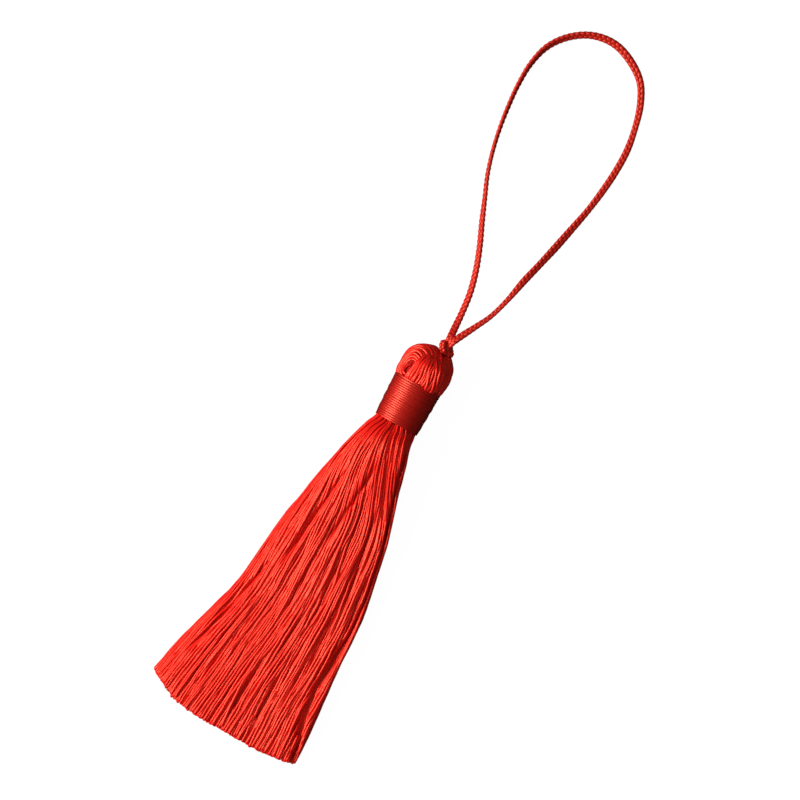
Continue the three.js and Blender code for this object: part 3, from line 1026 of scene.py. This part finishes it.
    def lay_arcs(self, mesh: YarnMesh, rng: Rng) -> None:
        """Lays the yarn that goes round the fold's end, in two layers.

        Args:
            mesh: the mesh that it goes in.
            rng: the source of its unevenness.
        """
        pitch = 2 * self.yarn / self.radius
        folds = np.arange(self.eye, math.pi - self.last_fold, pitch)
        folds = np.concatenate([folds, folds + pitch / 2]) + rng.normal(0.0, self.arc_jitter, 2 * len(folds))
        under = np.repeat([0.0, self.under_arcs], len(folds) // 2)
        around = np.linspace(-math.pi / 2 + self.low_gap, math.pi / 2, self.trial_steps)
        paths = []
        for fold, lower in zip(folds, under):
            track = self.arc(np.full(around.shape, fold), around, np.zeros(around.shape))
            hidden = np.nonzero(track[:, 1] < self.low_y)[0]
            low = around[hidden[-1]] if len(hidden) else around[0]
            sweep = np.linspace(low, math.pi - low, self.steps)
            phases, rates = rng.uniform(0, FULL_TURN, 3), rng.uniform(*self.arc_waves, 3)
            sway = ripple(sweep, self.arc_sway, rates, phases) * min(1.0, fold / self.arc_calm)
            depth = ripple(sweep, self.arc_depth, rates * self.depth_quicker, phases[::-1])
            paths.append(self.arc(fold + sway, sweep, depth + lower))
        self._lay(mesh, np.array(paths), np.full((len(folds), self.steps), self.yarn), rng)

    def lay_fan(self, mesh: YarnMesh, rng: Rng) -> None:
        """Lays the fan of yarn from under the knot down into the binding.

        Args:
            mesh: the mesh that it goes in.
            rng: the source of its unevenness.
        """
        pitch = math.degrees(2 * self.fan_yarn / self.radius)
        bearing = np.arange(self.fan_left, self.fan_right, pitch * self.fan_pitch)
        bearing = (bearing + rng.normal(0.0, pitch * self.fan_jitter, len(bearing)))[:, None]
        polar = np.radians(np.linspace(self.fan_top, self.fan_low, self.fan_steps))[None]
        phases = rng.uniform(0, FULL_TURN, (len(bearing), 3)).T[..., None]
        sway = ripple(polar, self.fan_sway, self.sway_waves, phases)
        depth = ripple(polar, self.fan_depth, self.depth_waves, phases[::-1])
        lean = self.fan_lean * np.clip((bearing - self.fan_middle) / self.lean_span, self.left_lean, 1.0)
        turn = np.radians(bearing) + sway - lean * np.clip(np.cos(polar), self.low_lean, 1.0)
        whole = np.ones_like(turn)
        way = np.stack([np.sin(polar) * np.sin(turn), np.cos(polar) * whole, np.sin(polar) * np.cos(turn)],
                       axis=-1)
        path = self.placed(way, self.fan_yarn + depth + self.sinking(way))
        radius = self.fan_yarn * (1 + np.sin(np.minimum(polar, math.pi / 2))) / 2 * whole
        radius[:self.border_yarns] *= self.border
        self._lay(mesh, path, radius, rng)

    def _lay(self, mesh: YarnMesh, path: Array, radius: Array, rng: Rng) -> None:
        """Adds runs, clear of the floor and each a little thicker or thinner than the next.

        Args:
            mesh: the mesh that they go in.
            path: their centre lines.
            radius: their half widths.
            rng: the source of their unevenness.
        """
        path[..., 2] = np.maximum(path[..., 2], radius)
        varies = np.clip(rng.normal(0.0, self.yarn_varies, (len(path), 1)), -self.yarn_most, self.yarn_most)
        outward = unit(path - self.neck.at(self.centre_y))
        mesh.lay(path, outward, radius * (1 + varies), rng.uniform(*self.tints, len(path)), YarnEnd.TUCKED)

    def build_yarn(self) -> Piece:
        """Lays the arcs and the fan over them.

        Returns:
            The head's yarn.
        """
        rng = np.random.default_rng(self.seed)
        mesh = YarnMesh("head_fold_yarn", sides=8)
        self.lay_arcs(mesh, rng)
        self.lay_fan(mesh, rng)
        return mesh.made()

    def build_eye(self) -> Piece:
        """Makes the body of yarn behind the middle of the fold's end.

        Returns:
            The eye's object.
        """
        way = Vector(self.fold_frame()[0])
        middle = Vector(self.neck.at(self.centre_y)) + way * (self.radius - self.eye_depth)
        turned = Matrix.Translation(middle * MM) @ Matrix.Rotation(-math.radians(self.fold_tilt), 4, "Y")
        # a dark body in the eye's recess: its darker finish paints the recess's shade
        shape = bmesh.new()
        bmesh.ops.create_uvsphere(shape, u_segments=32, v_segments=20, radius=MM,
                                  matrix=turned @ Matrix.Diagonal((*self.eye_size, 1.0)))
        return from_bmesh(shape, "fold_eye")

    def build_inner_arcs(self) -> Piece:
        """Lays the innermost yarn of the fold's end, a little way down.

        Returns:
            The inner arcs' object.
        """
        rng = np.random.default_rng(self.seed + 1)
        sweep = np.linspace(-math.pi / 2 + self.low_gap, 1.5 * math.pi - self.low_gap, self.steps)
        folds = np.array(self.inner_folds)
        depths = self.inner_depth + self.inner_slope * (folds[-1] - folds)
        paths = np.array([self.arc(np.full(sweep.shape, fold), sweep, np.full(sweep.shape, depth))
                          for fold, depth in zip(folds, depths)])
        mesh = YarnMesh("fold_inner_yarn", sides=8)
        self._lay(mesh, paths, np.full(paths.shape[:2], self.yarn * self.inner_thick), rng)
        return mesh.made()

    def build_core(self) -> Piece:
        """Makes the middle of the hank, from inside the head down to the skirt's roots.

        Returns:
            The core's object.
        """
        shape = bmesh.new()
        middle = self.neck.at(self.core_y)
        ring = [shape.verts.new(Vector((middle[0] + out, y, middle[2])) * MM) for out, y in self.core]
        edges = [shape.edges.new(pair) for pair in zip(ring, ring[1:])]
        bmesh.ops.spin(shape, geom=ring + edges, cent=Vector(middle) * MM, axis=(0.0, 1.0, 0.0),
                       angle=FULL_TURN, steps=32, use_merge=True)
        bmesh.ops.remove_doubles(shape, verts=shape.verts, dist=0.01 * MM)
        bmesh.ops.recalc_face_normals(shape, faces=shape.faces)
        return from_bmesh(shape, "hank_core")

    def dress(self, shop: Workshop) -> None:
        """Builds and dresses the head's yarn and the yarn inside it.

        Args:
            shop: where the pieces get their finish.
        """
        shop.dress(self.build_yarn(), RIM_SHADED_HEAD_YARN, "yarn_hank")
        # the eye, the inner arcs and the core get the darker inner finish, whose red is painted shade
        for build in (self.build_eye, self.build_inner_arcs, self.build_core):
            shop.dress(build(), SHADED_INNER_YARN, "yarn_hank")


@dataclass(frozen=True)
class Crevice:
    """A dark gap between locks: its line down the skirt, its depth and width, and how long it fades out."""

    line: Pairs
    depth: float
    half_width: float
    fade: float = 3.0

    def dip(self, y: Array, x: Array) -> Array:
        """Lowers the skirt's top in the gap.

        Args:
            y: places down the skirt.
            x: places across it.

        Returns:
            How far the top is lowered at each place.
        """
        down, across = np.array(self.line)[::-1].T
        middle = np.interp(y, down, across)
        within = np.clip((y - down[0]) / self.fade, 0, 1) * np.clip((down[-1] - y) / self.fade, 0, 1)
        return self.depth * within * np.exp(-((x - middle) / self.half_width) ** 2)


CREVICES = (
    Crevice(((26.0, 3.2), (23.1, 3.65), (15.5, 5.4), (6.0, 8.6), (2.5, 9.6), (-6.3, 11.4), (-13.8, 12.1),
             (-18.5, 11.9), (-23.0, 11.75)), 1.7, 0.3),
    Crevice(((-13.0, 12.1), (-18.5, 11.9), (-24.1, 11.8), (-27.5, 12.2), (-30.7, 12.8), (-36.3, 14.5),
             (-43.0, 16.4)), 1.8, 0.55),
    Crevice(((-8.0, -7.0), (-15.3, -8.2), (-19.1, -8.9), (-24.4, -10.1), (-30.0, -11.6)), 0.8, 0.35),
    Crevice(((13.0, -3.4), (8.0, -3.8), (4.9, -4.0), (-2.8, -4.6), (-8.0, -5.1)), 0.8, 0.4),
    Crevice(((16.0, 0.8), (11.4, 0.6), (5.2, 0.3), (-1.0, 0.1)), 0.7, 0.4),
    Crevice(((9.0, 4.9), (6.0, 5.6), (3.8, 6.1), (-4.6, 7.9), (-7.5, 8.4), (-10.0, 8.8)), 0.9, 0.35),
)


def lowered(y: Array, x: Array) -> Array:
    """How far all the crevices lower the skirt's top at y and x."""
    return sum(crevice.dip(y, x) for crevice in CREVICES)


def on_floor(place: Array, y: Array, radius: Array) -> Array:
    """Paths from places of x and z and their y, kept up by their half width."""
    return np.stack([place[..., 0], y, np.maximum(place[..., 1], radius)], axis=-1)


@dataclass
class Skirt:
    """The cut yarn below the neck: outer threads in uneven locks over a packed bed, and the cut ends inside.

    The roll says where round the neck a thread starts, by where round the free skirt it hangs. The kinks are
    waves of each thread: their size and their shortest and longest length.
    """

    root_y: float = 24.9
    neck_y: float = 24.2
    far_y: float = -41.0
    cut_y: float = -36.0
    steps: int = 96
    sections: int = 68
    round_steps: int = 721
    smoothed: int = 9
    count: int = 112
    layers: Pairs = ((0.0, 0.0), (0.5, 0.13), (0.25, 0.32))
    left_bulge: Span = (2.0, 2.2)
    right_bulge: Span = (2.2, 12.0)
    bulge_ease: float = 0.6
    rim: float = 0.995
    slope: float = 0.22
    root_thick: float = 0.4
    free_thick: float = 0.52
    thick_varies: float = 0.08
    snug: float = 1.2
    spacing: float = 0.13
    lock_sizes: tuple[int, ...] = (1, 1, 2, 2, 3, 3, 4)
    lock_run: float = 9.0
    lock_knots: int = 7
    bunching: float = 0.12
    bunch_varies: Span = (0.3, 1.5)
    bunch_drift: float = 0.35
    lock_sway: float = 0.28
    lock_lift: float = 0.12
    lock_crown: float = 0.1
    roll: Pairs = ((0.0, 0.0), (0.04, 0.04), (0.25, 0.18), (0.43, 0.25), (0.5, 0.33), (0.75, 0.68),
                   (1.0, 1.0))
    roll_run: float = 22.0
    kinks: tuple[tuple[float, float, float], ...] = ((0.1, 18.0, 34.0), (0.05, 8.0, 14.0), (0.032, 3.2, 5.5))
    kink_varies: Span = (0.4, 1.4)
    kink_rise: float = 0.6
    kink_y: float = 24.0
    kink_run: float = 8.0
    neck_dive: float = 0.5
    dive_varies: Span = (0.7, 1.3)
    dive_run: Span = (5.0, 20.0)
    ridge_every: int = 4
    ragged: float = 0.12
    most_ragged: float = 0.4
    bed_inset: float = 0.8
    bed_top: float = 23.4
    bed_end: float = -36.4
    bed_blunt: float = 9.0
    bed_share: float = 0.98
    stubs: int = 400
    stub_steps: int = 8
    stub_length: float = 5.0
    stub_reach: float = 0.97
    stub_height: float = 0.85
    seed: int = 23

    def __post_init__(self) -> None:
        """Keeps the section table by distance down from the neck, the outlines and the random source."""
        self.down = np.array([-row.y for row in SKIRT_SECTIONS])
        self.columns = np.array(SKIRT_SECTIONS)[:, 1:].T
        self.points, self.outward, self.lengths = self.outlines()
        self.rng = np.random.default_rng(self.seed)

    def edges(self, y: float) -> list[float]:
        """The section at y: left, right, low, high and level."""
        return [float(eased(np.array(-y), self.down, column)) for column in self.columns]

    def spans(self, y: float, x: Array) -> tuple[Array, Array, Array]:
        """Where the skirt lies at y.

        Args:
            y: the section's place.
            x: places across it.

        Returns:
            The place across from -1 to 1, and the underside and the top there.
        """
        left, right, low, high, level = self.edges(y)
        across = np.clip((x - left) / (right - left) * 2 - 1, -self.rim, self.rim)
        bulge = np.where(across < 0, self.left_bulge[0] + self.left_bulge[1] * level,
                         self.right_bulge[0] + self.right_bulge[1] * level ** self.bulge_ease)
        arch = (1 - np.abs(across) ** bulge) ** (1 / bulge) * (1 - self.slope * level * np.clip(across, 0, 1))
        middle, half = (low + high) / 2, (high - low) / 2
        under = (middle - half * arch) * (1 - level) + low * level
        top = (middle + half * arch) * (1 - level) + (low + (high - low) * arch) * level
        return across, under, top

    def opened(self, y: float, disc: Array) -> Array:
        """Lays places in a round bundle out over the section at y.

        Args:
            y: the section's place.
            disc: places in a round bundle of radius 1.

        Returns:
            The same places as x and z.
        """
        left, right = self.edges(y)[:2]
        x = left + (right - left) * (disc[:, 0] + 1) / 2
        across, under, top = self.spans(y, x)
        height = np.clip(disc[:, 1] / np.sqrt(1 - across ** 2), -1, 1)
        return np.stack([x, under + (top - under) * (height + 1) / 2], axis=-1)

    def outlines(self) -> tuple[Array, Array, Array]:
        """Walks round the skirt's sections in even steps, from the left edge over the top and back below.

        Returns:
            Points and outward directions, sections by places by x and z, and each section's length round.
        """
        turn = np.linspace(math.pi, -math.pi, self.round_steps)
        disc = np.stack([np.cos(turn), np.sin(turn)], axis=-1)
        lap, even = self.smoothed, np.ones(self.smoothed) / self.smoothed
        points, outward, lengths = [], [], []
        for y in np.linspace(self.root_y, self.far_y, self.sections):
            ring = self.opened(y, disc)
            run = distance(ring)
            places = np.linspace(0.0, run[-1], self.round_steps)
            ring = np.stack([np.interp(places, run, column) for column in ring.T], axis=-1)
            along = np.gradient(np.concatenate([ring[-lap:-1], ring, ring[1:lap]]), axis=0)
            across, rise = (np.convolve(column, even, "same")[lap - 1:1 - lap] for column in along.T)
            points.append(ring)
            outward.append(unit(np.stack([-rise, across], axis=-1)))
            lengths.append(run[-1])
        return np.array(points), np.array(outward), np.array(lengths)

    def read(self, table: Array, y: Array, share: Array) -> Array:
        """Reads a table of the outlines between its rows and columns.

        Args:
            table: sections by places by 2.
            y: where along the skirt.
            share: how far round, of which the whole is 1.

        Returns:
            The values there, with 2 numbers each.
        """
        rows, columns = table.shape[0] - 1, table.shape[1] - 1
        row = np.clip((self.root_y - y) / (self.root_y - self.far_y), 0, 1) * rows
        column = (share % 1.0) * columns
        top, left = np.minimum(row.astype(int), rows - 1), np.minimum(column.astype(int), columns - 1)
        down, right = (row - top)[..., None], (column - left)[..., None]
        upper = table[top, left] * (1 - right) + table[top, left + 1] * right
        lower = table[top + 1, left] * (1 - right) + table[top + 1, left + 1] * right
        return upper * (1 - down) + lower * down

    def wander(self, y: Array, size: float) -> Array:
        """A slow random drift along one lock, read at each y."""
        knots = np.linspace(-self.root_y, -self.far_y, self.lock_knots)
        return eased(-y, knots, self.rng.normal(0.0, size, self.lock_knots))

    def snipped(self, across: Array) -> Array:
        """Where threads at these places across the skirt are cut, each a little long or short."""
        uneven = self.rng.normal(0, self.ragged, len(across)).clip(-self.most_ragged, self.most_ragged)
        return eased(across, *np.array(CUT_LINE).T) + uneven

    def locked(self, offset: float, y: Array, around: Array) -> tuple[Array, Array]:
        """Gathers the threads of one layer into uneven locks.

        Args:
            offset: how far the layer's threads are moved round, in threads.
            y: where along the skirt, threads by steps.
            around: the skirt's length round at each y.

        Returns:
            Each thread's share round the skirt and its lift, threads by steps.
        """
        count, rng = self.count, self.rng
        start = (np.arange(count) + 0.5 + offset + rng.normal(0, self.spacing, count))[:, None] / count % 1.0
        at_neck = np.interp(start, *np.array(self.roll).T)
        share = start + (at_neck - start) * (1 - np.clip((self.neck_y - y) / self.roll_run, 0, 1)) ** 2
        lift = np.zeros_like(y)
        free = np.clip((self.neck_y - y) / self.lock_run, 0, 1)
        first = 0
        while first < count:
            mine = slice(first, min(count, first + int(rng.choice(self.lock_sizes))))
            row, loose = y[first], free[first]
            draw = rng.uniform(*self.bunch_varies) + self.wander(row, self.bunch_drift)
            middle = share[mine].mean(0)
            share[mine] = middle + (share[mine] - middle) * (1 - self.bunching * draw * loose)
            share[mine] += self.wander(row, self.lock_sway) * loose / around[first]
            size = mine.stop - first
            place = np.linspace(-1, 1, size)[:, None] if size > 1 else np.zeros((1, 1))
            lift[mine] += (self.wander(row, self.lock_lift) - self.lock_crown * place ** 2) * free[mine]
            first = mine.stop
        return share, lift

    def threads(self, offset: float, depth: float) -> tuple[Array, Array]:
        """Runs the threads of one layer from the neck to the cut line, with their own kinks.

        Args:
            offset: how far the layer's threads are moved round, in threads.
            depth: how far the layer lies under the skirt's outside.

        Returns:
            Paths and half widths.
        """
        count, each, rng = self.count, (self.count, 1), self.rng
        start = (np.arange(count) + 0.5 + offset) / count
        x = self.read(self.points, np.full(count, self.cut_y), start)[:, 0]
        ends = self.snipped(self.spans(self.cut_y, x)[0])
        y = self.root_y + np.linspace(0.0, 1.0, self.steps)[None] * (ends[:, None] - self.root_y)
        around = np.interp(-y, np.linspace(-self.root_y, -self.far_y, self.sections), self.lengths)
        share, lift = self.locked(offset, y, around)
        free = np.clip((self.kink_y - y) / self.kink_run, 0, 1)
        for size, shortest, longest in self.kinks:
            for sideways in (False, True):
                wave = rng.uniform(shortest, longest, each)
                strength = size * rng.uniform(*self.kink_varies, each)
                kink = free * strength * np.sin(FULL_TURN * y / wave + rng.uniform(0, FULL_TURN, each))
                if sideways:
                    share = share + kink / around
                else:
                    lift = lift + self.kink_rise * kink
        radius = np.clip(self.snug * around / count, self.root_thick, self.free_thick) / 2
        radius = radius * (1 + rng.normal(0, self.thick_varies, each))
        ridge = (np.arange(count) + rng.integers(0, 2, count)) % self.ridge_every == 0
        dive = self.neck_dive * rng.uniform(*self.dive_varies, count) * np.where(ridge, depth > 0.0, 1.0)
        rising = np.clip(1 - (self.root_y - y) / rng.uniform(*self.dive_run, each), 0, 1)
        inside = radius + depth + dive[:, None] * rising - lift
        outward = self.read(self.outward, y, share)
        place = self.read(self.points, y, share) - outward * inside[..., None]
        place[..., 1] -= np.clip(outward[..., 1] * 2, 0, 1) * lowered(y, place[..., 0])
        return on_floor(place, y, radius), radius

    def cut_ends(self) -> tuple[Array, Array]:
        """Lays the ends of the inner threads, which show only where the skirt is cut.

        Returns:
            Paths and half widths.
        """
        number = np.arange(self.stubs) + 0.5
        reach, turn = np.sqrt(number / self.stubs) * self.stub_reach, number * GOLDEN_TURN
        disc = np.stack([reach * np.cos(turn), self.stub_height * reach * np.sin(turn)], axis=-1)
        upper, lower = self.opened(self.cut_y + self.stub_length, disc), self.opened(self.cut_y, disc)
        ends = self.snipped(disc[:, 0])
        y = ends[:, None] + np.linspace(self.stub_length, 0.0, self.stub_steps)[None]
        radius = np.full(y.shape, self.free_thick / 2)
        place = lower[:, None] + (upper - lower)[:, None] * ((y - self.cut_y) / self.stub_length)[..., None]
        return on_floor(place, y, radius), radius

    def build_bunches(self) -> list[Piece]:
        """Makes the skirt's threads in three bunches, from left to right.

        Returns:
            The three objects.
        """
        laid = [self.threads(*layer) for layer in self.layers] + [self.cut_ends()]
        made = []
        for part, label in enumerate(("left", "middle", "right")):
            mesh = YarnMesh(f"skirt_yarn_{label}")
            for path, radius in laid:
                mine = np.array_split(np.argsort(path[:, -1, 0]), 3)[part]
                outward = np.broadcast_to(UP, path[mine].shape)
                mesh.lay(path[mine], outward, radius[mine], self.rng.uniform(size=len(mine)), YarnEnd.CUT)
            made.append(mesh.made())
        return made

    def build_bed(self) -> Piece:
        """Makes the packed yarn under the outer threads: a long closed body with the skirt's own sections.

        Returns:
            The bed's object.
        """
        shape = bmesh.new()
        bmesh.ops.create_uvsphere(shape, u_segments=56, v_segments=90, radius=1.0)
        for vert in shape.verts:
            polar = math.acos(max(-1.0, min(1.0, vert.co.z)))
            y = self.bed_top - (self.bed_top - self.bed_end) * polar / math.pi
            turn = math.atan2(vert.co.y, vert.co.x)
            out = min(1.0, math.sin(polar) * self.bed_blunt) * self.bed_share
            place = self.opened(y, np.array([[math.cos(turn), math.sin(turn)]]) * out)[0]
            left, right, low, high, _ = self.edges(y)
            middle = np.array([(left + right) / 2, (low + high) / 2])
            half = np.array([(right - left) / 2, (high - low) / 2])
            drawn = middle + (place - middle) * (1 - self.bed_inset / half)
            drawn[1] -= lowered(y, drawn[0]) * max(0.0, math.sin(turn))
            vert.co = Vector((drawn[0], y, drawn[1])) * MM
        bmesh.ops.recalc_face_normals(shape, faces=shape.faces)
        return from_bmesh(shape, "skirt_bed")

    def dress(self, shop: Workshop) -> None:
        """Builds and dresses the bed and the bunches of thread over it in the shop."""
        for piece in [self.build_bed(), *self.build_bunches()]:
            shop.dress(piece, HANK_YARN, "yarn_hank")


def main() -> None:
    """Builds the studio, the loop with its knot, the head, the binding and the skirt, all dressed."""
    logging.basicConfig(level=logging.INFO, format="%(name)s %(message)s")
    Studio().build()
    shop = Workshop()
    shop.mix(HANK_YARN, RIM_SHADED_HEAD_YARN, SHADED_INNER_YARN, BINDING_THREAD, LOOP_PLAIT)
    neck = NeckAxis()
    for assembly in (HangingLoop(), Head(neck), Binding(neck), Skirt()):
        assembly.dress(shop)


if __name__ == "__main__":
    main()
